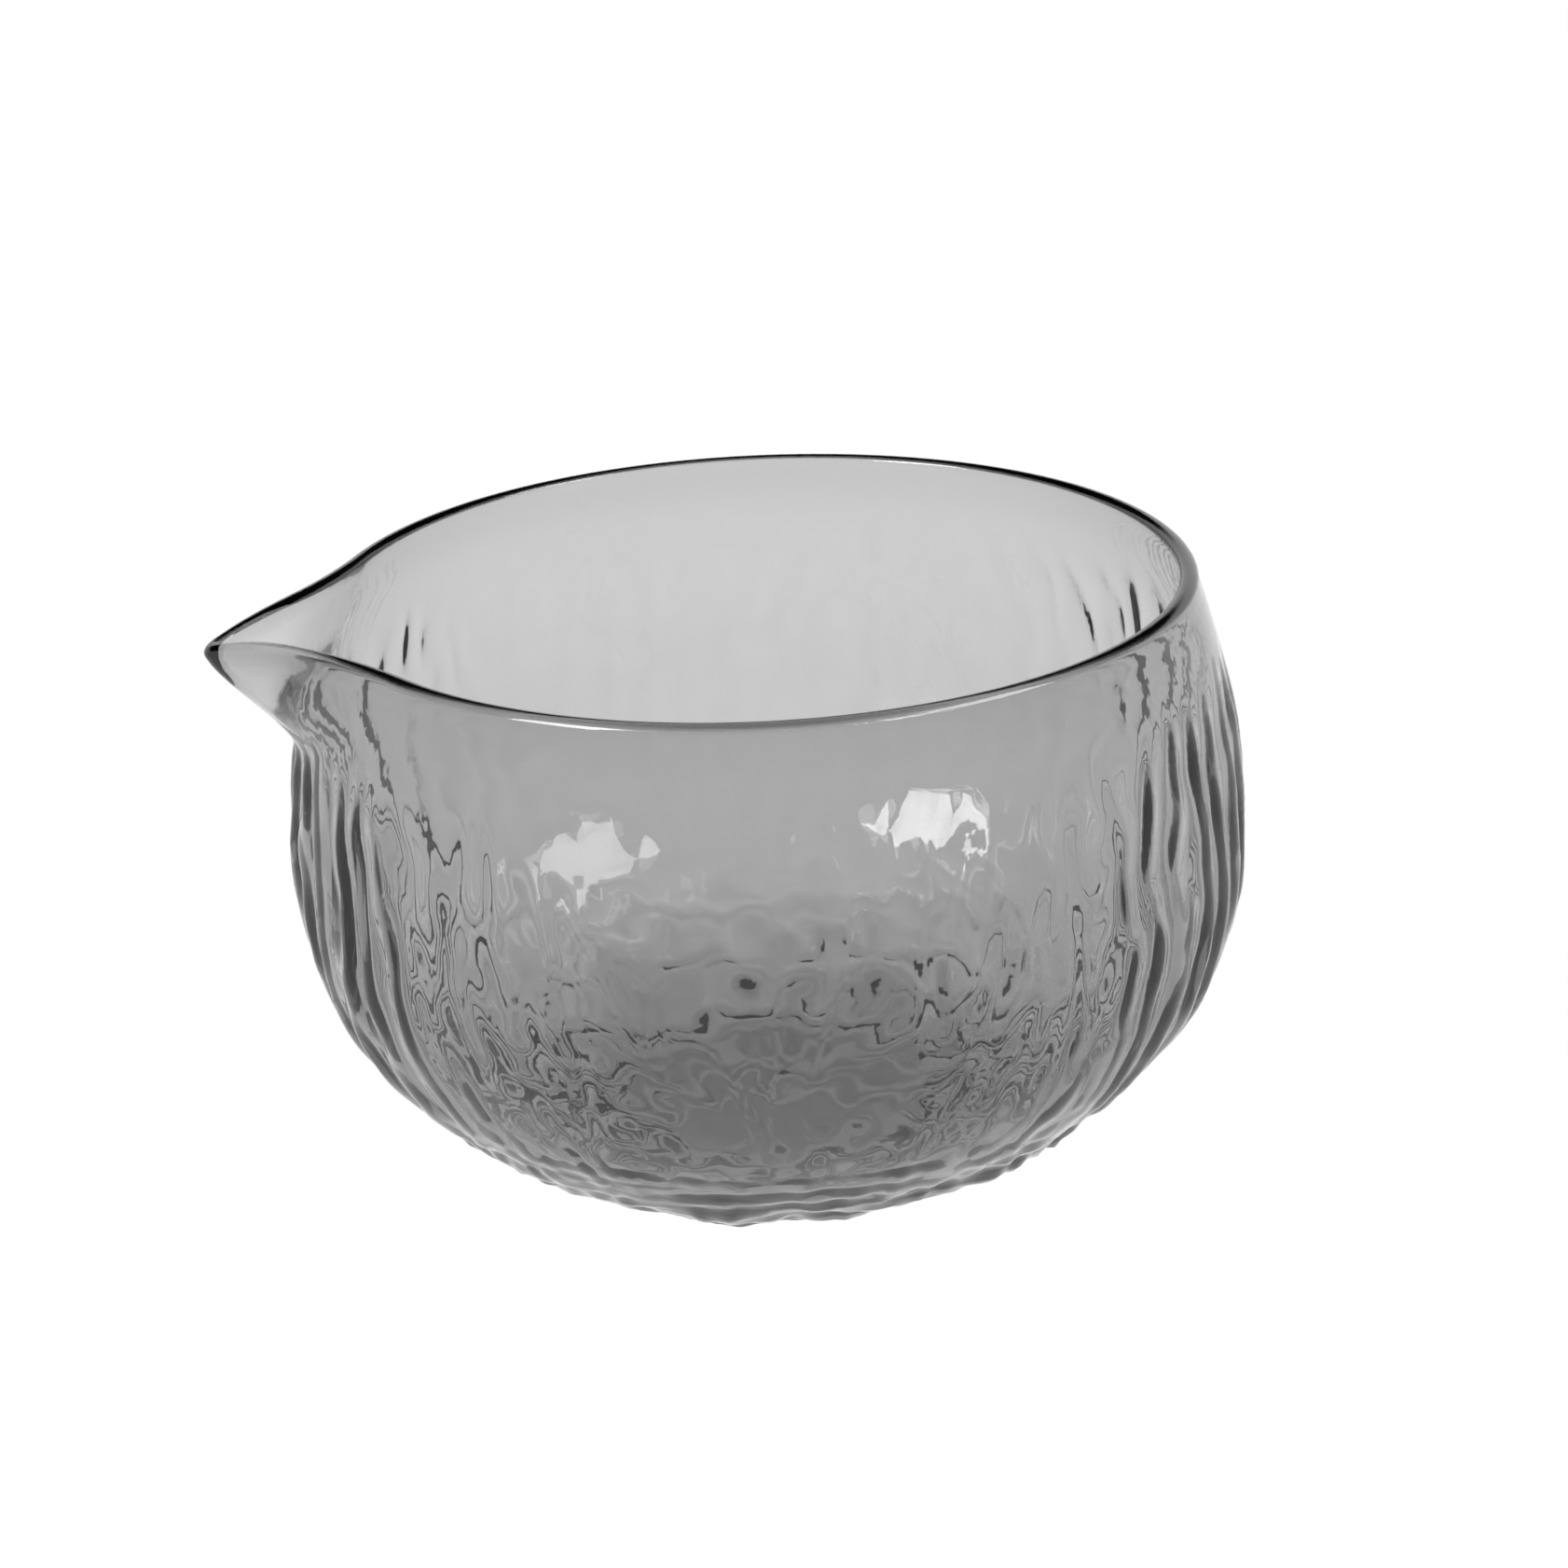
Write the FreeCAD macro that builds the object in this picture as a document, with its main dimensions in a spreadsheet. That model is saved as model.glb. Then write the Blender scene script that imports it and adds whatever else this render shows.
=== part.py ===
import FreeCAD, Part
import os
import Sketcher
from math import acos, asin, atan2, cos, pi, radians, sin, sqrt

# A squat glass mixing bowl with a pouring spout, blown and pulled from one gather of glass.
# Its origin is the middle of the foot, on the table. +Z is up and the spout points along -X.
# Lengths are millimetres and angles are degrees.

SIZES = {
    # the round body, outside
    "bowlHeight": 80.0,
    "rimRadius": 56.4,
    "bellyRadius": 62.8,
    "bellyHeight": 43.7,
    "bellyLift": 4.9,          # how far the belly's arc, carried round, would stand off the table
    "footRadius": 20.0,        # the ground flat that the bowl rests on
    "footAngle": 8.0,          # how steeply the wall leaves the table
    # the glass
    "wallThickness": 2.2,
    "floorThickness": 5.0,
    "floorRadius": 16.0,       # the flat middle of the inside
    "lipFlat": 0.2,            # what the fire polish leaves flat on top of the wall
    # the spout
    "spoutReach": 71.8,        # from the bowl's axis to the tip
    "spoutRoot": 62.0,         # the height where the wall starts to swell out
    "spoutRootSpread": 12.0,   # half the angle of wall that swells
    "spoutRootTipSpread": 5.0,
    "flankRadius": 79.0,       # the hollow flank between the round wall and the tip, in plan
    "tipRadius": 1.8,
    "rootTipRadius": 26.0,     # the tip's rounding down at the root
    "channelRadius": 0.8,      # inside the tip, at the rim
    "spoutDrop": 2.2,          # how far the tip bends below the rim
    "spoutDropLength": 12.0,
}
SPOUT_LEVELS = 8               # sections of the spout above its root
CUTTER_MARGIN = 6.0            # how far the tip's cutter stands out past the glass

# Formulas that the sketches are bound to
shoulderIn = "(Sizes.bellyRadius - Sizes.rimRadius)"
shoulderUp = "(Sizes.bowlHeight - Sizes.bellyHeight)"
shoulderArc = f"(({shoulderIn}^2 + {shoulderUp}^2) / (2 * {shoulderIn}))"
bellyArc = "(Sizes.bellyHeight - Sizes.bellyLift)"
footToBelly = f"(Sizes.bellyRadius - {bellyArc} - Sizes.footRadius)"
baseArc = (f"(({footToBelly}^2 + Sizes.bellyHeight^2 - {bellyArc}^2)"
           f" / (2 * (Sizes.bellyHeight * cos(Sizes.footAngle) - {bellyArc}"
           f" - {footToBelly} * sin(Sizes.footAngle))))")
dropArc = "((Sizes.spoutDropLength^2 + Sizes.spoutDrop^2) / (2 * Sizes.spoutDrop))"
cutterReach = f"(Sizes.spoutReach + {CUTTER_MARGIN})"


def wallRadius(height, depth="0"):
    """The shoulder at a height above the belly, outside or at a depth into the glass."""
    rise = f"({height} - Sizes.bellyHeight)"
    return f"(Sizes.bellyRadius - {shoulderArc} + sqrt(({shoulderArc} - {depth})^2 - {rise}^2))"


def spoutHeight(share):
    return f"(Sizes.spoutRoot + {share} * (Sizes.bowlHeight - Sizes.spoutRoot))"


def makeSheet(doc):
    sheet = doc.addObject("Spreadsheet::Sheet", "Sizes")
    for row, (alias, size) in enumerate(SIZES.items(), 1):
        sheet.set(f"A{row}", alias)
        sheet.set(f"B{row}", str(size))
        sheet.setAlias(f"B{row}", alias)
    doc.recompute()
    return sheet


def value(formula):
    return float(FreeCAD.ActiveDocument.Sizes.evalExpression(formula))


def makeSketch(body, name, role):
    sketch = body.newObject("Sketcher::SketchObject", name)
    plane = [feature for feature in body.Origin.OriginFeatures if feature.Role == role][0]
    sketch.AttachmentSupport = [(plane, "")]
    sketch.MapMode = "FlatFace"
    return sketch


def bind(sketch, kind, places, formula):
    """Add a dimension whose size is a formula of the sheet's sizes."""
    index = sketch.addConstraint(Sketcher.Constraint(kind, *places, value(formula)))
    sketch.setExpression(f"Constraints[{index}]", formula)


def tie(sketch, kind, *places):
    sketch.addConstraint(Sketcher.Constraint(kind, *places))


def addLine(sketch, start, end):
    return sketch.addGeometry(Part.LineSegment(FreeCAD.Vector(*start), FreeCAD.Vector(*end)), False)


def addArc(sketch, centre, radius, start, end):
    circle = Part.Circle(FreeCAD.Vector(*centre), FreeCAD.Vector(0, 0, 1), radius)
    return sketch.addGeometry(Part.ArcOfCircle(circle, start, end), False)


START, END, CENTRE = 1, 2, 3   # a sketch's names for the points of a line or an arc
ORIGIN = (-1, START)
LEVEL_AXIS, UPRIGHT_AXIS = -1, -2


def makeWallSketch(body):
    """The wall cut through the axis, from the foot up to the spout's root."""
    sketch = makeSketch(body, "WallSection", "XZ_Plane")
    footRadius = value("Sizes.footRadius")
    belly = value("Sizes.bellyRadius")
    bellyZ = value("Sizes.bellyHeight")
    wall = value("Sizes.wallThickness")
    floor = value("Sizes.floorThickness")
    floorRadius = value("Sizes.floorRadius")
    root = value("Sizes.spoutRoot")
    bellyR = value(bellyArc)
    bellyX = belly - bellyR
    baseR = value(baseArc)
    shoulderR = value(shoulderArc)
    lean = radians(value("Sizes.footAngle"))
    baseX = footRadius - baseR * sin(lean)
    baseZ = baseR * cos(lean)
    baseEnd = atan2(bellyZ - baseZ, bellyX - baseX)
    innerUp = bellyZ - floor
    innerBelly = bellyR - wall
    innerBase = (((bellyX - floorRadius) ** 2 + innerUp ** 2 - innerBelly ** 2)
                 / (2 * (innerUp - innerBelly)))
    innerEnd = atan2(innerUp - innerBase, bellyX - floorRadius)
    shoulderX = belly - shoulderR
    topOut = atan2(root - bellyZ, sqrt(shoulderR ** 2 - (root - bellyZ) ** 2))
    topIn = atan2(root - bellyZ, sqrt((shoulderR - wall) ** 2 - (root - bellyZ) ** 2))
    outX = shoulderX + shoulderR * cos(topOut)
    inX = shoulderX + (shoulderR - wall) * cos(topIn)

    foot = addLine(sketch, (0, 0, 0), (footRadius, 0, 0))
    base = addArc(sketch, (baseX, baseZ, 0), baseR, lean - pi / 2, baseEnd)
    bellyOut = addArc(sketch, (bellyX, bellyZ, 0), bellyR, baseEnd, 0)
    shoulderOut = addArc(sketch, (shoulderX, bellyZ, 0), shoulderR, 0, topOut)
    top = addLine(sketch, (outX, root, 0), (inX, root, 0))
    shoulderInner = addArc(sketch, (shoulderX, bellyZ, 0), shoulderR - wall, 0, topIn)
    bellyInner = addArc(sketch, (bellyX, bellyZ, 0), innerBelly, innerEnd, 0)
    baseInner = addArc(sketch, (floorRadius, floor + innerBase, 0), innerBase, -pi / 2, innerEnd)
    floorLine = addLine(sketch, (floorRadius, floor, 0), (0, floor, 0))
    middle = addLine(sketch, (0, floor, 0), (0, 0, 0))

    # outside
    tie(sketch, "Coincident", foot, START, *ORIGIN)
    tie(sketch, "PointOnObject", foot, END, LEVEL_AXIS)
    bind(sketch, "DistanceX", (*ORIGIN, foot, END), "Sizes.footRadius")
    tie(sketch, "Coincident", foot, END, base, START)
    tie(sketch, "Tangent", base, END, bellyOut, START)
    tie(sketch, "Tangent", bellyOut, END, shoulderOut, START)
    bind(sketch, "DistanceX", (*ORIGIN, bellyOut, END), "Sizes.bellyRadius")
    bind(sketch, "DistanceY", (*ORIGIN, bellyOut, END), "Sizes.bellyHeight")
    tie(sketch, "Horizontal", bellyOut, CENTRE, bellyOut, END)
    bind(sketch, "Radius", (bellyOut,), bellyArc)
    bind(sketch, "Radius", (base,), baseArc)
    bind(sketch, "Radius", (shoulderOut,), shoulderArc)
    bind(sketch, "DistanceY", (*ORIGIN, shoulderOut, END), "Sizes.spoutRoot")
    # across the top
    tie(sketch, "Coincident", shoulderOut, END, top, START)
    tie(sketch, "Horizontal", top)
    tie(sketch, "Coincident", top, END, shoulderInner, END)
    # inside
    tie(sketch, "Coincident", shoulderInner, CENTRE, shoulderOut, CENTRE)
    bind(sketch, "Radius", (shoulderInner,), f"{shoulderArc} - Sizes.wallThickness")
    tie(sketch, "Tangent", shoulderInner, START, bellyInner, END)
    tie(sketch, "Coincident", bellyInner, CENTRE, bellyOut, CENTRE)
    tie(sketch, "Tangent", bellyInner, START, baseInner, END)
    tie(sketch, "Tangent", baseInner, START, floorLine, START)
    tie(sketch, "Horizontal", floorLine)
    bind(sketch, "DistanceX", (*ORIGIN, floorLine, START), "Sizes.floorRadius")
    bind(sketch, "DistanceY", (*ORIGIN, floorLine, START), "Sizes.floorThickness")
    tie(sketch, "PointOnObject", floorLine, END, UPRIGHT_AXIS)
    tie(sketch, "Coincident", floorLine, END, middle, START)
    tie(sketch, "Coincident", middle, END, *ORIGIN)
    return sketch


def addSpoutLoop(sketch, back, flankX, flankY, flank, noseX, nose):
    """One line of the wall in plan: the round back, a hollow flank, the tip, a hollow flank."""
    leave = atan2(flankY, flankX)
    meet = atan2(flankY, flankX - noseX)
    round_ = addArc(sketch, (0, 0, 0), back, leave - pi, pi - leave)
    left = addArc(sketch, (-flankX, flankY, 0), flank, -meet, -leave)
    tip = addArc(sketch, (-noseX, 0, 0), nose, pi - meet, pi + meet)
    right = addArc(sketch, (-flankX, -flankY, 0), flank, leave, meet)
    tie(sketch, "Coincident", round_, CENTRE, *ORIGIN)
    tie(sketch, "Tangent", round_, END, left, END)
    tie(sketch, "Tangent", left, START, tip, START)
    tie(sketch, "Tangent", tip, END, right, END)
    tie(sketch, "Tangent", right, START, round_, START)
    return round_, left, tip, right


def makeSpoutSketch(body, level):
    """Both lines of the wall in plan at one height of the spout."""
    share = level / SPOUT_LEVELS
    height = spoutHeight(share)
    swell = f"{3 * share ** 2 - 2 * share ** 3}"
    narrow = f"{(1 - share) ** 2}"
    back = wallRadius(height)
    inBack = wallRadius(height, "Sizes.wallThickness")
    nose = f"(Sizes.tipRadius + {narrow} * (Sizes.rootTipRadius - Sizes.tipRadius))"
    noseX = f"({back} + {swell} * (Sizes.spoutReach - Sizes.rimRadius) - {nose})"
    innerNose = (f"(Sizes.channelRadius + {narrow}"
                 f" * (Sizes.rootTipRadius - Sizes.wallThickness - Sizes.channelRadius))")
    backR, noseR, noseAt, innerNoseR = value(back), value(nose), value(noseX), value(innerNose)
    wall, flankR = backR - value(inBack), value("Sizes.flankRadius")
    reach = backR + flankR
    leave = acos((reach ** 2 + noseAt ** 2 - (flankR + noseR) ** 2) / (2 * reach * noseAt))
    flankX, flankY = reach * cos(leave), reach * sin(leave)
    innerNoseX = flankX - sqrt((flankR + wall + innerNoseR) ** 2 - flankY ** 2)

    sketch = makeSketch(body, f"SpoutSection{level}", "XY_Plane")
    sketch.setExpression("AttachmentOffset.Base.z", height)
    round_, left, tip, right = addSpoutLoop(sketch, backR, flankX, flankY, flankR, noseAt, noseR)
    bind(sketch, "Radius", (round_,), back)
    bind(sketch, "Radius", (left,), "Sizes.flankRadius")
    bind(sketch, "Radius", (right,), "Sizes.flankRadius")
    bind(sketch, "Radius", (tip,), nose)
    tie(sketch, "PointOnObject", tip, CENTRE, LEVEL_AXIS)
    bind(sketch, "DistanceX", (tip, CENTRE, *ORIGIN), noseX)
    inRound, inLeft, inTip, inRight = addSpoutLoop(sketch, backR - wall, flankX, flankY,
                                                   flankR + wall, innerNoseX, innerNoseR)
    bind(sketch, "Radius", (inRound,), inBack)
    tie(sketch, "Coincident", inLeft, CENTRE, left, CENTRE)
    tie(sketch, "Coincident", inRight, CENTRE, right, CENTRE)
    bind(sketch, "Radius", (inTip,), innerNose)
    return sketch


def addRootLoop(sketch, radius):
    """A circle in the four pieces that become a back, two flanks and a tip."""
    back = value(radius)
    leave = radians(value("Sizes.spoutRootSpread"))
    meet = radians(value("Sizes.spoutRootTipSpread"))
    round_ = addArc(sketch, (0, 0, 0), back, leave - pi, pi - leave)
    left = addArc(sketch, (0, 0, 0), back, pi - leave, pi - meet)
    tip = addArc(sketch, (0, 0, 0), back, pi - meet, pi + meet)
    right = addArc(sketch, (0, 0, 0), back, pi + meet, pi + leave)
    bind(sketch, "Radius", (round_,), radius)
    for arc in (round_, left, tip):
        tie(sketch, "Coincident", arc, CENTRE, *ORIGIN)
    tie(sketch, "Coincident", round_, END, left, START)
    tie(sketch, "Coincident", left, END, tip, START)
    tie(sketch, "Coincident", tip, END, right, START)
    tie(sketch, "Tangent", right, END, round_, START)
    spread = f"{radius} * sin(Sizes.spoutRootSpread)"
    tipSpread = f"{radius} * sin(Sizes.spoutRootTipSpread)"
    bind(sketch, "DistanceY", (*ORIGIN, left, START), spread)
    bind(sketch, "DistanceY", (*ORIGIN, left, END), tipSpread)
    bind(sketch, "DistanceY", (right, START, *ORIGIN), tipSpread)
    bind(sketch, "DistanceY", (right, END, *ORIGIN), spread)


def makeRootSketch(body):
    sketch = makeSketch(body, "SpoutRoot", "XY_Plane")
    sketch.setExpression("AttachmentOffset.Base.z", "Sizes.spoutRoot")
    addRootLoop(sketch, wallRadius("Sizes.spoutRoot"))
    addRootLoop(sketch, wallRadius("Sizes.spoutRoot", "Sizes.wallThickness"))
    return sketch


def makeTipCutter(body):
    """What the tip's bend takes off the top of the spout, seen from the side."""
    sketch = makeSketch(body, "TipBend", "XZ_Plane")
    height, bend = value("Sizes.bowlHeight"), value(dropArc)
    start, end = value("Sizes.spoutDropLength - Sizes.spoutReach"), -value(cutterReach)
    turn = asin((start - end) / bend)
    low, high = height - bend * (1 - cos(turn)), height + CUTTER_MARGIN
    arc = addArc(sketch, (start, height - bend, 0), bend, pi / 2, pi / 2 + turn)
    up = addLine(sketch, (end, low, 0), (end, high, 0))
    across = addLine(sketch, (end, high, 0), (start, high, 0))
    down = addLine(sketch, (start, high, 0), (start, height, 0))
    tie(sketch, "Coincident", arc, END, up, START)
    tie(sketch, "Coincident", up, END, across, START)
    tie(sketch, "Coincident", across, END, down, START)
    tie(sketch, "Coincident", down, END, arc, START)
    tie(sketch, "Vertical", up)
    tie(sketch, "Horizontal", across)
    tie(sketch, "Vertical", down)
    tie(sketch, "Vertical", arc, CENTRE, arc, START)
    bind(sketch, "Radius", (arc,), dropArc)
    bind(sketch, "DistanceX", (arc, START, *ORIGIN), "Sizes.spoutReach - Sizes.spoutDropLength")
    bind(sketch, "DistanceY", (*ORIGIN, arc, START), "Sizes.bowlHeight")
    bind(sketch, "DistanceX", (arc, END, *ORIGIN), cutterReach)
    bind(sketch, "DistanceY", (*ORIGIN, up, END), f"Sizes.bowlHeight + {CUTTER_MARGIN}")
    return sketch


def isLipTop(face):
    """The top of the wall: the level ring and the bend at the tip."""
    middle = face.CenterOfMass
    up = face.normalAt(*face.Surface.parameter(middle)).z
    return up > cos(radians(45)) and middle.z > value("Sizes.bowlHeight - 2 * Sizes.spoutDrop")


def lipEdges(shape):
    """The lines around the top of the wall, outside and inside."""
    tops = [face for face in shape.Faces if isLipTop(face)]
    names = []
    for index, edge in enumerate(shape.Edges, 1):
        uses = sum(edge.isSame(other) for face in tops for other in face.Edges)
        if uses == 1:
            names.append(f"Edge{index}")
    return names


def makeBowl(doc):
    body = doc.addObject("PartDesign::Body", "GlassBowl")
    body.Label = "glass_bowl"

    wallSketch = makeWallSketch(body)
    lower = body.newObject("PartDesign::Revolution", "LowerBowl")
    lower.Profile = wallSketch
    lower.ReferenceAxis = (wallSketch, ["V_Axis"])
    lower.Angle = 360
    doc.recompute()

    root = makeRootSketch(body)
    sections = [makeSpoutSketch(body, level) for level in range(1, SPOUT_LEVELS + 1)]
    doc.recompute()
    upper = body.newObject("PartDesign::AdditiveLoft", "UpperBowl")
    upper.Profile = root
    upper.Sections = sections
    doc.recompute()

    bend = body.newObject("PartDesign::Pocket", "TipBendCut")
    bend.Profile = makeTipCutter(body)
    bend.SideType = "Symmetric"
    bend.setExpression("Length", "2 * Sizes.rimRadius")
    doc.recompute()
    if bend.Shape.Volume >= upper.Shape.Volume:
        raise RuntimeError("the tip's bend cut nothing")

    lip = body.newObject("PartDesign::Fillet", "Lip")
    lip.Base = (bend, lipEdges(bend.Shape))
    lip.setExpression("Radius", "(Sizes.wallThickness - Sizes.lipFlat) / 2")
    doc.recompute()
    return body


def check(doc, pieces):
    """Stop before anything is written if a feature failed or a piece isn't one valid solid."""
    for item in doc.Objects:
        if "Invalid" in item.State or "Error" in item.State:
            raise RuntimeError(f"{item.Name} failed: {item.State}")
    for piece in pieces:
        shape = piece.Shape
        if shape.isNull() or not shape.isValid() or len(shape.Solids) != 1:
            raise RuntimeError(f"{piece.Label} is not one valid solid")


def main():
    doc = FreeCAD.newDocument("MixingBowl")
    makeSheet(doc)
    pieces = [makeBowl(doc)]
    doc.recompute()
    check(doc, pieces)
    os.makedirs("parts", exist_ok=True)
    for piece in pieces:
        piece.Shape.exportStep(f"parts/{piece.Label}.step")
        box = piece.Shape.optimalBoundingBox()
        size = f"{box.XLength:.1f} x {box.YLength:.1f} x {box.ZLength:.1f} mm"
        print(piece.Label, f"{piece.Shape.Volume:.0f} mm3", size)


main()
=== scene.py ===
from math import acos, atan2, cos, exp, hypot, pi, radians, sin, sqrt

import bpy
from mathutils import Matrix, Vector, noise
from mathutils.kdtree import KDTree


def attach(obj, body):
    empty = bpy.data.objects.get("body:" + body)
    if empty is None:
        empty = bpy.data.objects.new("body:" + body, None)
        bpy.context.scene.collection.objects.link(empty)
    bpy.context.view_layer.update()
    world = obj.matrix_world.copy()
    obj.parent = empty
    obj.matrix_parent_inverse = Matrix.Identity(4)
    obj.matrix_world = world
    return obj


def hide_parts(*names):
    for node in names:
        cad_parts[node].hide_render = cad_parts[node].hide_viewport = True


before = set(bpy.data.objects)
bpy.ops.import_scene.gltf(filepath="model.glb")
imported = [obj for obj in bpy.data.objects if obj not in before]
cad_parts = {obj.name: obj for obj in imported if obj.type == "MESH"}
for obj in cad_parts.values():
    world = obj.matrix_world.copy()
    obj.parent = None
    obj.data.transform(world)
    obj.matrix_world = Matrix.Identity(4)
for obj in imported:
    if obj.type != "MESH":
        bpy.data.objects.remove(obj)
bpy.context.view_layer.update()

mm = 0.001


def srgbToLinear(hexColour):
    parts = [int(hexColour[i:i + 2], 16) / 255 for i in (1, 3, 5)]
    linear = [p / 12.92 if p <= 0.04045 else ((p + 0.055) / 1.055) ** 2.4 for p in parts]
    return (*linear, 1.0)


def addNode(tree, kind, settings=None, values=None, links=None):
    # settings are the node's own options, values go into its sockets, links come from other sockets
    node = tree.nodes.new(kind)
    for name, setting in (settings or {}).items():
        setattr(node, name, setting)
    for name, number in (values or {}).items():
        node.inputs[name].default_value = number
    for name, source in (links or {}).items():
        tree.links.new(source, node.inputs[name])
    return node


def newMaterial(name):
    material = bpy.data.materials.new(name)
    material.use_nodes = True
    material.node_tree.nodes.clear()
    return material, material.node_tree


def smoothstep(low, high, x):
    t = min(max((x - low) / (high - low), 0.0), 1.0)
    return t * t * (3 - 2 * t)


def wayTo(azimuth, elevation):
    # azimuth 0 is the side the bowl is seen from, and 90 is on its right
    a, e = radians(azimuth), radians(elevation)
    return Vector((sin(a) * cos(e), -cos(a) * cos(e), sin(e)))


cameraSettings = {
    "azimuth": -10.0,        # degrees, a little towards the spout
    "elevation": 22.2,
    "distance": 0.5,
    "target": (0, 0, 0.040),
    "lens": 85.8,
    "sensor": 36,
    "shiftX": 0.0087,
    "shiftY": 0.0482,
    "roll": -2.76,
    "clipStart": 0.01,
}


def makeCamera():
    c = cameraSettings
    back = wayTo(c["azimuth"], c["elevation"])
    data = bpy.data.cameras.new("camera")
    data.lens = c["lens"]
    data.sensor_width = c["sensor"]
    data.shift_x = c["shiftX"]
    data.shift_y = c["shiftY"]
    data.clip_start = c["clipStart"]
    camera = bpy.data.objects.new("camera", data)
    bpy.context.scene.collection.objects.link(camera)
    turn = back.to_track_quat("Z", "Y").to_matrix().to_4x4()
    roll = Matrix.Rotation(radians(c["roll"]), 4, "Z")
    camera.matrix_world = Matrix.Translation(Vector(c["target"]) + back * c["distance"]) @ turn @ roll
    bpy.context.scene.camera = camera


makeCamera()
print("camera placed")


# The glass bowl. Its lengths are millimetres, and the mesh is scaled to metres as it is made.
bowlSettings = {
    "height": 80.0,
    "rimRadius": 56.4,
    "bellyRadius": 62.8,
    "bellyHeight": 43.7,
    "bellyArc": 38.8,         # the round of the belly below its widest line
    "footRadius": 20.0,
    "footAngle": 8.0,         # how steeply the wall leaves the foot
    "wall": 2.2,
    "floor": 5.0,
    "floorRadius": 16.0,
    # the lip
    "lipDepth": 1.0,
    "bead": 0.04,             # how far the fire polish swells the lip
    "beadLow": 74.0,
    "lipFlare": 0.45,         # the last of the wall turns upright
    "lipFlareLow": 75.5,
    "lipNeck": 0.10,          # a faint hollow under the lip
    "lipNeckLow": 76.0,
    "lipNeckStart": 0.4,
    "lipUpright": 0.2,        # the lip never leans over further than this lets it
    # the spout
    "reach": 71.8,
    "root": 62.0,             # the height where it starts to leave the round wall
    "flank": 79.0,            # the hollow arc between the wall and the tip
    "tip": 1.8,
    "rootTip": 26.0,
    "channel": 0.8,           # the inside radius of the tip
    "drop": 2.2,
    "dropLength": 12.0,
    "spoutThin": 0.65,        # how much thinner the pulling leaves its wall
    "spoutThinFrom": (0.5, 6.0),
    "spoutThinTop": (76.0, 78.5),
    # where the glass has run while it was soft
    "lowThicker": 0.5,
    "lowThickerFade": (18.0, 60.0),
    "floorThicker": 1.0,
    "floorFade": (14.0, 30.0),
    "topThinner": 0.24,
    "topThinnerFrom": (45.0, 66.0),
    "topThinnerTo": (70.0, 76.0),
    # the mesh
    "mergeDistance": 0.002,
    "columns": 500,
    "wallRows": 92,           # outside, and as many inside
    "lipRows": 12,
    "lineSteps": (400, 300),  # how finely a profile is worked out before it is cut into rows
    "tipCrowding": 0.72,      # how much closer together the columns stand at the tip
    "tipCrowdingWidth": 0.07,
}
b = bowlSettings
shoulderIn = b["bellyRadius"] - b["rimRadius"]
shoulderUp = b["height"] - b["bellyHeight"]
shoulderArc = (shoulderIn ** 2 + shoulderUp ** 2) / (2 * shoulderIn)
lipLow = b["height"] - b["lipDepth"] - b["bead"]


def wallRadius(z, depth=0.0):
    radius = b["bellyRadius"] - shoulderArc + sqrt((shoulderArc - depth) ** 2 - (z - b["bellyHeight"]) ** 2)
    flare = max(z - b["lipFlareLow"], 0.0) / (b["height"] - b["lipFlareLow"])
    neck = min(max(z - b["lipNeckLow"], 0.0) / (b["height"] - b["lipNeckLow"]), 1.0)
    hollow = b["lipNeck"] * sin(pi * neck) * smoothstep(0.0, b["lipNeckStart"], neck)
    return radius + b["lipFlare"] * flare ** 2 - hollow


def arcPoints(centre, radius, start, end, steps):
    return [(centre[0] + radius * cos(start + (end - start) * i / steps),
             centre[1] + radius * sin(start + (end - start) * i / steps)) for i in range(1, steps + 1)]


def shoulderPoints(depth):
    steps = b["lineSteps"][1]
    heights = [b["bellyHeight"] + (lipLow - b["bellyHeight"]) * i / steps for i in range(1, steps + 1)]
    return [(wallRadius(z, depth), z) for z in heights]


def evenSteps(points, count):
    # the same line cut into equal steps
    lengths = [0.0]
    for p, q in zip(points, points[1:]):
        lengths.append(lengths[-1] + hypot(q[0] - p[0], q[1] - p[1]))
    out, j = [], 0
    for i in range(count + 1):
        want = lengths[-1] * i / count
        while j < len(points) - 2 and lengths[j + 1] < want:
            j += 1
        t = (want - lengths[j]) / (lengths[j + 1] - lengths[j])
        p, q = points[j], points[j + 1]
        out.append((p[0] + (q[0] - p[0]) * t, p[1] + (q[1] - p[1]) * t))
    return out


def outsideLine():
    bellyX = b["bellyRadius"] - b["bellyArc"]
    lean = radians(b["footAngle"])
    across = bellyX - b["footRadius"]
    baseArc = ((across ** 2 + b["bellyHeight"] ** 2 - b["bellyArc"] ** 2)
               / (2 * (b["bellyHeight"] * cos(lean) - b["bellyArc"] - across * sin(lean))))
    baseX, baseZ = b["footRadius"] - baseArc * sin(lean), baseArc * cos(lean)
    baseEnd = atan2(b["bellyHeight"] - baseZ, bellyX - baseX)
    baseSteps, bellySteps = b["lineSteps"]
    points = [(0.0, 0.0), (b["footRadius"], 0.0)]
    points += arcPoints((baseX, baseZ), baseArc, lean - pi / 2, baseEnd, baseSteps)
    points += arcPoints((bellyX, b["bellyHeight"]), b["bellyArc"], baseEnd, 0, bellySteps)
    points += shoulderPoints(0.0)
    return evenSteps(points, b["wallRows"])


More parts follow.
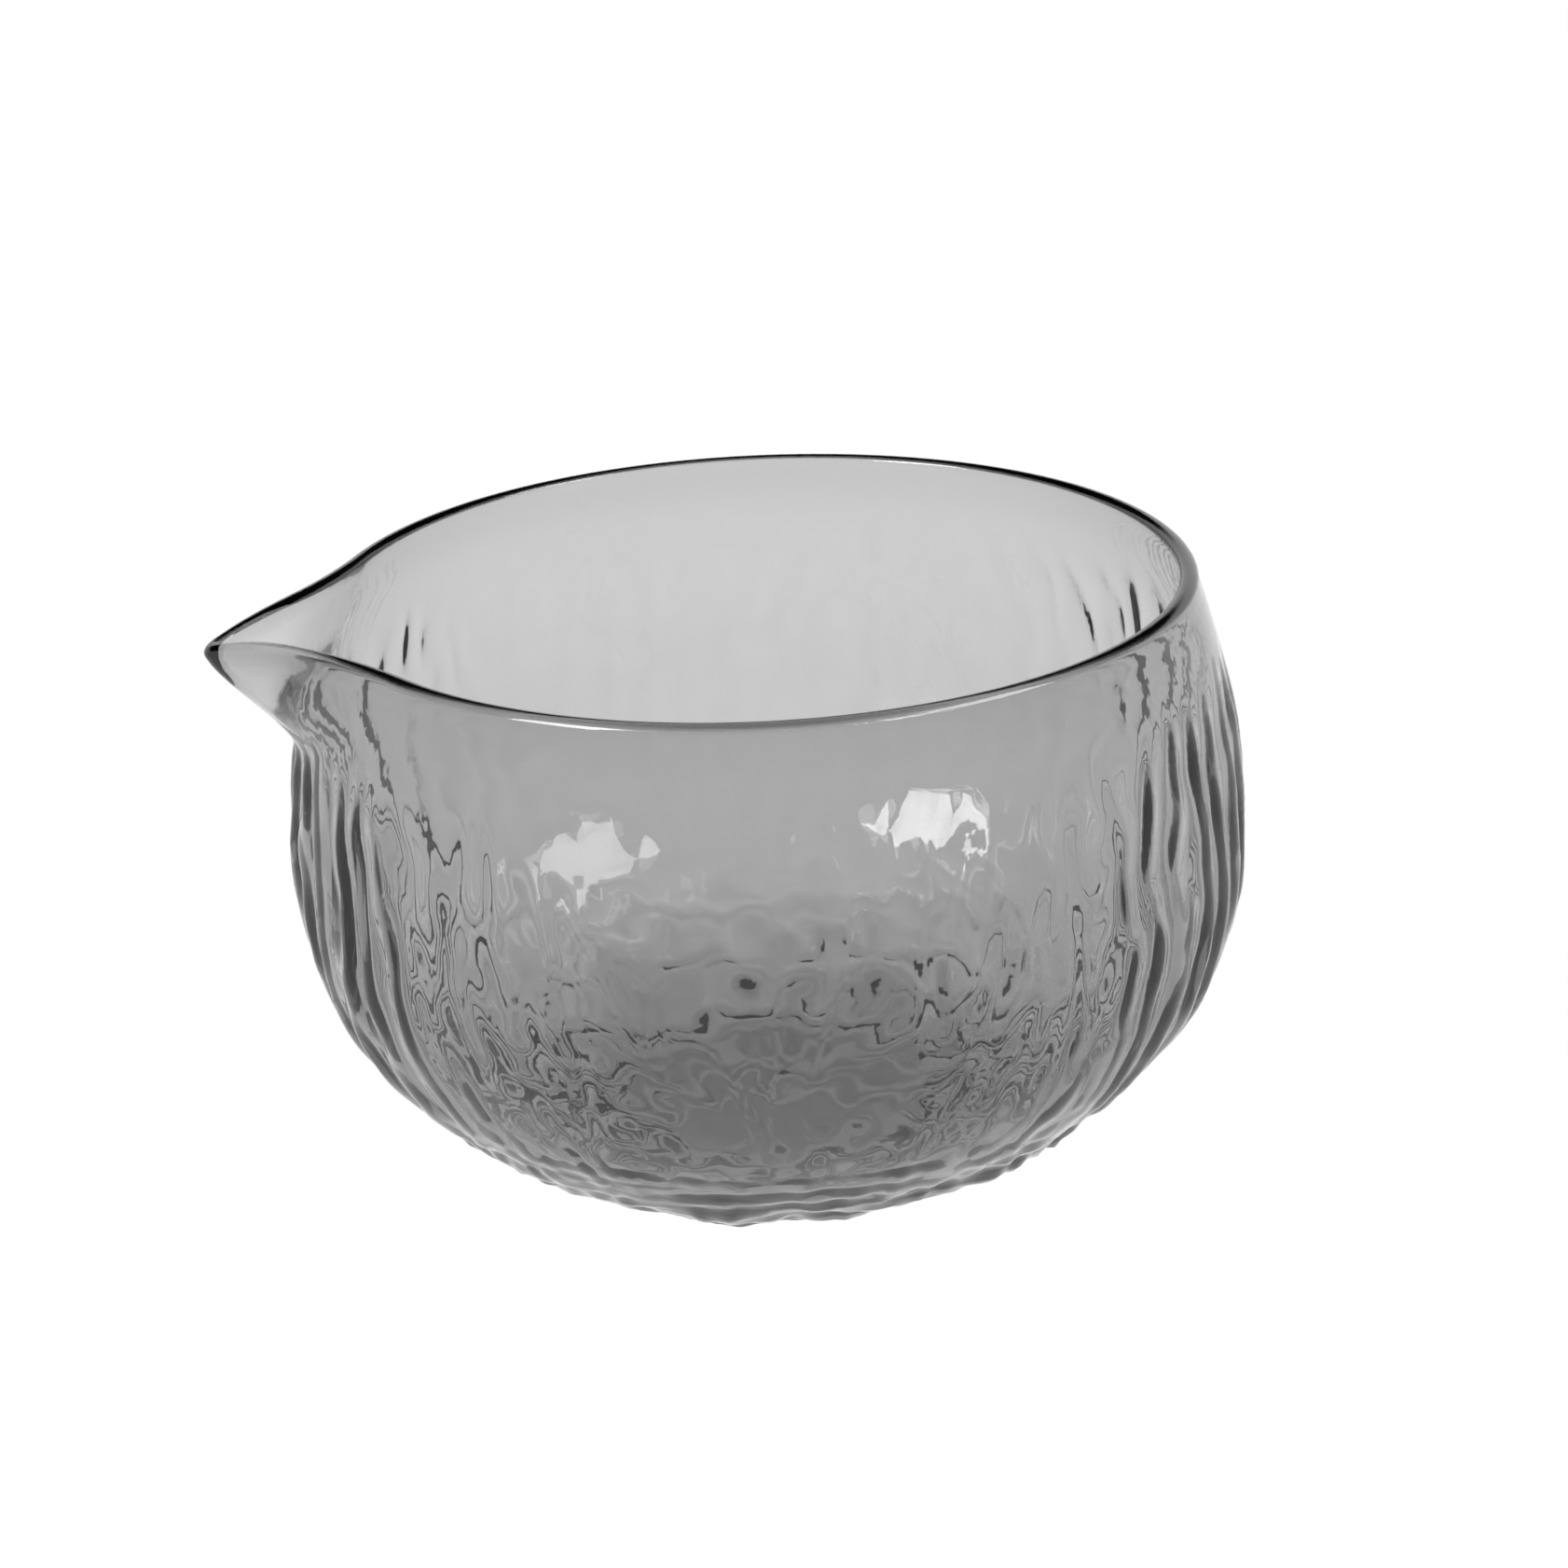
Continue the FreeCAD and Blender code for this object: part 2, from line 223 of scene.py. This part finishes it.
def insideLine():
    bellyX = b["bellyRadius"] - b["bellyArc"]
    innerBelly = b["bellyArc"] - b["wall"]
    innerUp = b["bellyHeight"] - b["floor"]
    innerBase = (((bellyX - b["floorRadius"]) ** 2 + innerUp ** 2 - innerBelly ** 2)
                 / (2 * (innerUp - innerBelly)))
    innerEnd = atan2(innerUp - innerBase, bellyX - b["floorRadius"])
    baseSteps, bellySteps = b["lineSteps"]
    points = [(0.0, b["floor"]), (b["floorRadius"], b["floor"])]
    points += arcPoints((b["floorRadius"], b["floor"] + innerBase), innerBase, -pi / 2, innerEnd, baseSteps)
    points += arcPoints((bellyX, b["bellyHeight"]), innerBelly, innerEnd, 0, bellySteps)
    points += shoulderPoints(b["wall"])
    return evenSteps(points, b["wallRows"])


def spoutPlan(z, inside):
    # the wall in plan at a height, as its round back, hollow flank and tip
    v = min(max((z - b["root"]) / (b["height"] - b["root"]), 0.0), 1.0)
    swell = 3 * v ** 2 - 2 * v ** 3
    narrow = (1 - v) ** 2
    back = wallRadius(z)
    nose = b["tip"] + narrow * (b["rootTip"] - b["tip"])
    noseX = back + swell * (b["reach"] - b["rimRadius"]) - nose
    reach = back + b["flank"]
    leave = acos(min((reach ** 2 + noseX ** 2 - (b["flank"] + nose) ** 2) / (2 * reach * noseX), 1.0))
    flankX, flankY, flank = reach * cos(leave), reach * sin(leave), b["flank"]
    if inside:
        wall = back - wallRadius(z, b["wall"])
        back -= wall
        flank += wall
        nose = b["channel"] + narrow * (b["rootTip"] - b["wall"] - b["channel"])
        noseX = flankX - sqrt((flank + nose) ** 2 - flankY ** 2)
    meet = atan2(flankY, flankX - noseX)
    return back, leave, meet, flankX, flankY, flank, noseX, nose


plans = {}


def planFor(z, inside):
    # many columns share a height, so each plan is worked out once
    key = (round(z, 3), inside)
    if key not in plans:
        plans[key] = spoutPlan(key[0], inside)
    return plans[key]


def planPoint(plan, share):
    # a point a share of the way along half of the wall, from the back round to the tip
    back, leave, meet, flankX, flankY, flank, noseX, nose = plan
    roundLength, flankLength, tipLength = back * (pi - leave), flank * (meet - leave), nose * meet
    s = share * (roundLength + flankLength + tipLength)
    if s <= roundLength:
        return Vector((back * cos(s / back), back * sin(s / back)))
    s -= roundLength
    if s <= flankLength:
        turn = -leave - s / flank
        return Vector((flank * cos(turn) - flankX, flank * sin(turn) + flankY))
    turn = pi - meet + (s - flankLength) / nose
    return Vector((nose * cos(turn) - noseX, nose * sin(turn)))


def dropAt(x):
    past = -(b["reach"] - b["dropLength"]) - x
    if past <= 0:
        return 0.0
    bend = (b["dropLength"] ** 2 + b["drop"] ** 2) / (2 * b["drop"])
    return bend - sqrt(max(bend ** 2 - past ** 2, 0.0))


def bellTail(x):
    # the area of a bell curve out to x, near enough: 0 far from the tip and 1 at it
    t = 1 / (1 + 0.3275911 * abs(x))
    terms = (0.254829592, -0.284496736, 1.421413741, -1.453152027, 1.061405429)
    return sum(term * t ** (i + 1) for i, term in enumerate(terms)) * exp(-x * x)


def crowd(u):
    # columns are crowded towards the tip, where the wall turns tightly
    halfBell = b["tipCrowding"] * b["tipCrowdingWidth"] * sqrt(pi) / 2
    return (u - halfBell * bellTail((u - 1) / b["tipCrowdingWidth"])) / (1 - halfBell)


def wallPoint(z, share, inside):
    # where a column's wall is at a height, after the tip bends down
    if z <= b["root"]:
        r = wallRadius(z, b["wall"] if inside else 0.0)
        return Vector((r * cos(pi * share), r * sin(pi * share), z))
    p = planPoint(planFor(z, inside), share)
    down = dropAt(p.x)
    if down > 0:
        z -= down * (z - b["root"]) / (b["height"] - b["root"])
        p = planPoint(planFor(z, inside), share)
    return Vector((p.x, p.y, z))


def lipPoint(turn, share):
    # turn goes from 0 on the outside wall over the top to pi on the inside wall
    out, inn = wallPoint(lipLow, share, False), wallPoint(lipLow, share, True)
    lower = (wallPoint(lipLow - 1, share, False) + wallPoint(lipLow - 1, share, True)) / 2
    middle = (out + inn) / 2
    lean = middle - lower
    lean /= max(lean.z, b["lipUpright"])
    return middle + (out - inn) / 2 * cos(turn) + lean * (b["lipDepth"] * sin(turn))


def makeBowl():
    outside, inside = outsideLine(), insideLine()
    rows = [("outside", point) for point in outside]
    outR, inR = outside[-1][0], inside[-1][0]
    for i in range(1, b["lipRows"]):
        turn = pi * i / b["lipRows"]
        r = (outR + inR) / 2 + (outR - inR) / 2 * cos(turn)
        rows.append(("lip", (r, lipLow + b["lipDepth"] * sin(turn))))
    rows += [("inside", point) for point in reversed(inside)]

    bpy.ops.object.select_all(action="DESELECT")
    bpy.ops.mesh.primitive_plane_add(size=0.01, location=(0, 0, 0))
    bowl = bpy.context.object
    bowl.name = bowl.data.name = "glassBowl"
    bpy.ops.object.mode_set(mode="EDIT")
    bpy.ops.mesh.select_all(action="SELECT")
    bpy.ops.mesh.merge(type="CENTER")       # one point, drawn out into the profile and then turned
    at = (0.0, 0.0)
    for _, (r, z) in rows[1:]:
        step = ((r - at[0]) * mm, 0, (z - at[1]) * mm)
        bpy.ops.mesh.extrude_region_move(TRANSFORM_OT_translate={"value": step})
        at = (r, z)
    bpy.ops.mesh.select_all(action="SELECT")
    bpy.ops.mesh.spin(steps=b["columns"], angle=2 * pi, center=(0, 0, 0), axis=(0, 0, 1))
    bpy.ops.mesh.select_all(action="SELECT")
    bpy.ops.mesh.remove_doubles(threshold=b["mergeDistance"] * mm)
    bpy.ops.mesh.normals_make_consistent(inside=False)
    bpy.ops.object.mode_set(mode="OBJECT")
    print("bowl turned:", len(bowl.data.vertices), "vertices")
    rowOf = findRows(bowl, rows)
    drawSpout(bowl, rows, rowOf)
    rippleBowl(bowl, rows, rowOf)
    bpy.ops.object.shade_smooth()
    return bowl


def findRows(bowl, rows):
    # which row of the profile each vertex belongs to
    tree = KDTree(len(rows))
    for i, (_, (r, z)) in enumerate(rows):
        tree.insert((r, 0, z), i)
    tree.balance()
    return [tree.find((hypot(v.co.x, v.co.y) / mm, 0, v.co.z / mm))[1] for v in bowl.data.vertices]


def drawSpout(bowl, rows, rowOf):
    # crowds the columns towards the tip, and draws the spout out of the round wall
    for vertex, i in zip(bowl.data.vertices, rowOf):
        place, (r, z) = rows[i]
        angle = atan2(vertex.co.y, vertex.co.x)
        share = crowd(abs(angle) / pi)
        if place == "lip":
            p = lipPoint(pi * (i - b["wallRows"]) / b["lipRows"], share)
        elif z > b["root"]:
            p = wallPoint(z, share, place == "inside")
        else:
            p = Vector((r * cos(pi * share), r * sin(pi * share), z))
        vertex.co = Vector((p.x, p.y if angle >= 0 else -p.y, p.z)) * mm
    bowl.data.update()
    print("spout drawn out")


# The ripples, in millimetres and degrees. A pair of numbers is where something fades in or out.
rippleSettings = {
    "ribCount": 56,
    "ribHeight": 0.37,
    "ribFront": 0.30,         # how strong the ribs are where they are weakest, in front and behind
    "ribTurn": -10.0,
    "ribSides": (0.50, 0.85),
    "ribBackFade": 0.45,
    "ribBack": (0.05, 0.35),
    "ribLowFade": 0.3,
    "ribStrength": (0.95, 1.3),       # its middle, and how far it comes and goes along a rib
    "wanderSlow": 3.6,                # how far a rib strays sideways, in radians of its wave
    "wanderQuick": 2.6,
    "streakHeight": 0.12,
    "dropHeight": 0.10,
    "lumpHeight": 0.20,
    "lumpSize": 4.0,
    "lumpStart": 5,                   # where in the noise it is taken from
    "lumpShare": (0.45, 1.0),         # everywhere, and more of it low down
    "foldHeight": 1.3,                # the folds that run round the bottom
    "fineFoldHeight": 0.5,
    "fineFoldFade": (3.0, 16.0),
    "grainHeight": 0.01,
    "lowFade": (6.0, 24.0),
    "footFade": (19.0, 26.0),
    "smoothBand": (60.0, 70.0),       # above it the wall is smooth
    "smoothBandTilt": 2.0,            # the ripples reach higher on one side
    "smoothBandTurn": 20.0,
    "spoutFade": (0.5, 3.0),
    "groundShare": 0.7,
    "insideShare": 0.4,               # how much of the ripple the inside follows
    "insideLumpHeight": 0.05,
    "insideLumpSize": 2.6,
    "insideLumpFade": (34.0, 50.0),
    "floorLumpHeight": 0.26,
    "floorLumpSize": 3.2,
    "floorLumpStart": 9,
}
# each pattern's size round the bowl, its size up the side, and where in the noise it is taken from
ripplePatterns = {
    "wanderSlow": (15.7, 26, 0),
    "wanderQuick": (6.28, 9, 40),
    "strength": (7.85, 14, -30),
    "streak": (3.3, 12, 11),
    "drop": (3.4, 4.4, 71),
    "fold": (16, 3.1, 23),
    "fineFold": (7, 2.6, 57),
    "grain": (2.5, 2.5, 3),
}


def rippleHeight(p, along):
    # how far the wall stands off its smooth shape; along is the way up the outside from the foot's middle
    w = rippleSettings
    r = hypot(p.x, p.y)
    ux, uy = p.x / max(r, 1e-6), p.y / max(r, 1e-6)
    angle = atan2(p.y, p.x)

    def pattern(name):
        size, rise, start = ripplePatterns[name]
        girth = b["bellyRadius"] / size
        return noise.noise(Vector((ux * girth, uy * girth, along / rise + start)))

    low = 1 - smoothstep(*w["lowFade"], p.z)
    across = abs(cos(angle - radians(w["ribTurn"])))
    behind = sin(angle - radians(w["ribTurn"]))
    side = w["ribFront"] + (1 - w["ribFront"]) * smoothstep(*w["ribSides"], across)
    side *= 1 - w["ribBackFade"] * smoothstep(*w["ribBack"], behind)
    turn = (w["ribCount"] * angle + w["wanderSlow"] * pattern("wanderSlow")
            + w["wanderQuick"] * pattern("wanderQuick"))
    strength = w["ribStrength"][0] + w["ribStrength"][1] * pattern("strength")
    upright = (w["ribHeight"] * cos(turn) * strength * side + w["streakHeight"] * pattern("streak")
               + w["dropHeight"] * pattern("drop"))
    lump = noise.noise(Vector((p.x, p.y, p.z)) / w["lumpSize"] + Vector((0, 0, w["lumpStart"])))
    fineFade = 1 - smoothstep(*w["fineFoldFade"], p.z)
    height = upright * (1 - w["ribLowFade"] * low)
    height += w["lumpHeight"] * lump * (w["lumpShare"][0] + w["lumpShare"][1] * low)
    height += w["foldHeight"] * pattern("fold") * low + w["fineFoldHeight"] * pattern("fineFold") * fineFade
    height += w["grainHeight"] * pattern("grain")

    pulled = max(r - wallRadius(p.z), 0.0) if p.z > b["root"] else 0.0
    level = p.z - w["smoothBandTilt"] * cos(angle - radians(w["smoothBandTurn"]))
    band = (1 - smoothstep(*w["smoothBand"], level)) * (1 - smoothstep(*w["spoutFade"], pulled))
    height *= band * smoothstep(*w["footFade"], r)
    return min(height, w["groundShare"] * p.z)       # never down through what the bowl stands on


def insideShift(p, profile, along):
    # how far the inside stands towards the outside: the ripples it follows, and where the glass has run
    w = rippleSettings
    r, z = profile
    size = hypot(p.x, p.y)
    pulled = size - wallRadius(p.z, b["wall"]) if p.z > b["root"] and p.x < 0 else 0.0
    thin = b["spoutThin"] * smoothstep(*b["spoutThinFrom"], pulled)
    thin *= 1 - smoothstep(*b["spoutThinTop"], p.z)
    outer = Vector((p.x / size * r, p.y / size * r, z)) if z < b["root"] else p
    floor = 1 - smoothstep(*b["floorFade"], size)
    shift = rippleHeight(outer, along) * w["insideShare"]
    shift -= b["lowThicker"] * (1 - smoothstep(*b["lowThickerFade"], p.z)) * (1 - floor)
    shift -= b["floorThicker"] * floor
    topBand = smoothstep(*b["topThinnerFrom"], p.z) * (1 - smoothstep(*b["topThinnerTo"], p.z))
    shift += b["topThinner"] * topBand
    floorPlace = Vector((p.x / w["floorLumpSize"], p.y / w["floorLumpSize"], w["floorLumpStart"]))
    shift -= w["floorLumpHeight"] * floor * noise.noise(floorPlace)
    insideFade = 1 - smoothstep(*w["insideLumpFade"], p.z)
    shift -= w["insideLumpHeight"] * insideFade * noise.noise(p / w["insideLumpSize"])
    return shift, thin


def rippleBowl(bowl, rows, rowOf):
    # the outside's ripples, which the inside follows more softly
    last = len(rows) - 1
    along = [0.0]
    for (_, p), (_, q) in zip(rows, rows[1:]):
        along.append(along[-1] + hypot(q[0] - p[0], q[1] - p[1]))
    normals = [vertex.normal.copy() for vertex in bowl.data.vertices]
    for vertex, i, normal in zip(bowl.data.vertices, rowOf, normals):
        if i in (0, last):
            continue
        place = rows[i][0]
        p = vertex.co / mm
        move = b["bead"] * smoothstep(b["beadLow"], b["height"] - 1.0, p.z)
        if place == "outside":
            move += rippleHeight(p, along[i])
        elif place == "inside":
            shift, thin = insideShift(p, rows[last - i][1], along[last - i])
            move -= shift + thin
        vertex.co += normal * (move * mm)
    bowl.data.update()
    print("ripples raised")


bowl = makeBowl()

# Smoke-grey soda-lime glass, blown and fire polished: clear, and darker the more of it the light crosses.
# Its skin has slow dimples a couple of millimetres across, which break up what it reflects.
glassSettings = {
    "ior": 1.52,
    "roughness": 0.0,
    "tint": "#ffffff",
    "smoke": "#bcbcbc",        # what a volume of it lets through
    "smokeDensity": 422.0,
    "dimpleSize": 2.2,
    "dimpleDepth": 0.012,
    "dimpleDetail": 1.5,
}


def makeSmokeGlass():
    g = glassSettings
    material, tree = newMaterial("smokeSodaLimeGlassBlown")
    place = addNode(tree, "ShaderNodeTexCoord").outputs["Object"]
    dimples = addNode(tree, "ShaderNodeTexNoise",
                      values={"Scale": 1 / (g["dimpleSize"] * mm), "Detail": g["dimpleDetail"]},
                      links={"Vector": place})
    bump = addNode(tree, "ShaderNodeBump", values={"Strength": 1.0, "Distance": g["dimpleDepth"] * mm},
                   links={"Height": dimples.outputs["Fac"]})
    glass = addNode(tree, "ShaderNodeBsdfPrincipled",
                    values={"Base Color": srgbToLinear(g["tint"]), "IOR": g["ior"],
                            "Roughness": g["roughness"], "Transmission Weight": 1.0},
                    links={"Normal": bump.outputs["Normal"]})
    smoke = addNode(tree, "ShaderNodeVolumeAbsorption",
                    values={"Color": srgbToLinear(g["smoke"]), "Density": g["smokeDensity"]})
    addNode(tree, "ShaderNodeOutputMaterial",
            links={"Surface": glass.outputs["BSDF"], "Volume": smoke.outputs["Volume"]})
    return material


bowl.data.materials.clear()
bowl.data.materials.append(makeSmokeGlass())
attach(bowl, "root")
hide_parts("glass_bowl")
print("glass given")


# The room: a white table lit from below, white walls low down, and a ceiling that is dark towards the back,
# so that the rim is drawn in a dark line.
studioSettings = {
    "floorSize": 6.0,
    "floorDrop": 0.3,         # millimetres under the foot
    "floorGlow": 1.0,
    "floorPaint": "#101010",
    "horizon": 1.0,
    "skyFront": 0.5,
    "skyBack": 0.02,
    "backWay": (0.174, 0.985, 0.0),      # the dark end of the room
    "frontEnd": -0.35,
    "frontStart": 0.25,
    "fadeFrom": 0.33,
    "fadeTo": 0.45,
    "bounces": 24,
    "glossyBounces": 12,
}
# degrees, metres and watts
softBoxes = {
    "leftBox": {"azimuth": -65, "elevation": 36, "distance": 1.0, "size": (0.40, 0.42), "power": 6.5},
    "rightBox": {"azimuth": 58, "elevation": 43, "distance": 1.0, "size": (0.46, 0.44), "power": 4.5},
}
softBoxAim = Vector((0, 0, 0.05))


def makeFloor():
    s = studioSettings
    bpy.ops.object.select_all(action="DESELECT")
    bpy.ops.mesh.primitive_plane_add(size=s["floorSize"], location=(0, 0, -s["floorDrop"] * mm))
    floor = bpy.context.object
    floor.name = floor.data.name = "floor"
    bpy.ops.object.transform_apply(location=True, rotation=True, scale=True)
    # an opal acrylic light table: it glows evenly and shows no shadow or sheen
    material, tree = newMaterial("litWhiteTable")
    paint = addNode(tree, "ShaderNodeBsdfPrincipled",
                    values={"Base Color": srgbToLinear(s["floorPaint"]), "Roughness": 1.0,
                            "Emission Color": (1, 1, 1, 1), "Emission Strength": s["floorGlow"],
                            "Specular IOR Level": 0.0})
    addNode(tree, "ShaderNodeOutputMaterial", links={"Surface": paint.outputs["BSDF"]})
    floor.data.materials.append(material)


def makeWorld():
    s = studioSettings
    world = bpy.data.worlds.new("studio")
    bpy.context.scene.world = world
    world.use_nodes = True
    tree = world.node_tree
    tree.nodes.clear()
    place = addNode(tree, "ShaderNodeTexCoord").outputs["Generated"]
    behind = addNode(tree, "ShaderNodeVectorMath", {"operation": "DOT_PRODUCT"}, {1: s["backWay"]},
                     {0: place}).outputs["Value"]
    height = addNode(tree, "ShaderNodeSeparateXYZ", links={"Vector": place}).outputs["Z"]
    top = addNode(tree, "ShaderNodeMapRange", {"interpolation_type": "SMOOTHSTEP"},
                  {"From Min": s["frontEnd"], "From Max": s["frontStart"],
                   "To Min": s["skyFront"], "To Max": s["skyBack"]},
                  {"Value": behind}).outputs["Result"]
    high = addNode(tree, "ShaderNodeMapRange", {"interpolation_type": "SMOOTHSTEP"},
                   {"From Min": s["fadeFrom"], "From Max": s["fadeTo"]}, {"Value": height}).outputs["Result"]
    sky = addNode(tree, "ShaderNodeMapRange", values={"To Min": s["horizon"]},
                  links={"Value": high, "To Max": top}).outputs["Result"]
    light = addNode(tree, "ShaderNodeBackground", values={"Color": (1, 1, 1, 1)}, links={"Strength": sky})
    addNode(tree, "ShaderNodeOutputWorld", links={"Surface": light.outputs["Background"]})


def makeSoftBox(name, box):
    way = wayTo(box["azimuth"], box["elevation"])
    data = bpy.data.lights.new(name, "AREA")
    data.shape = "RECTANGLE"
    data.size, data.size_y = box["size"]
    data.energy = box["power"]
    light = bpy.data.objects.new(name, data)
    bpy.context.scene.collection.objects.link(light)
    turn = way.to_track_quat("Z", "Y").to_matrix().to_4x4()
    light.matrix_world = Matrix.Translation(way * box["distance"] + softBoxAim) @ turn


makeFloor()
makeWorld()
for name, box in softBoxes.items():
    makeSoftBox(name, box)
scene = bpy.context.scene
scene.view_settings.view_transform = "Standard"
scene.view_settings.look = "None"
scene.cycles.max_bounces = studioSettings["bounces"]
scene.cycles.transmission_bounces = studioSettings["bounces"]
scene.cycles.glossy_bounces = studioSettings["glossyBounces"]
scene.cycles.caustics_refractive = True
scene.cycles.caustics_reflective = True
print("studio lit")
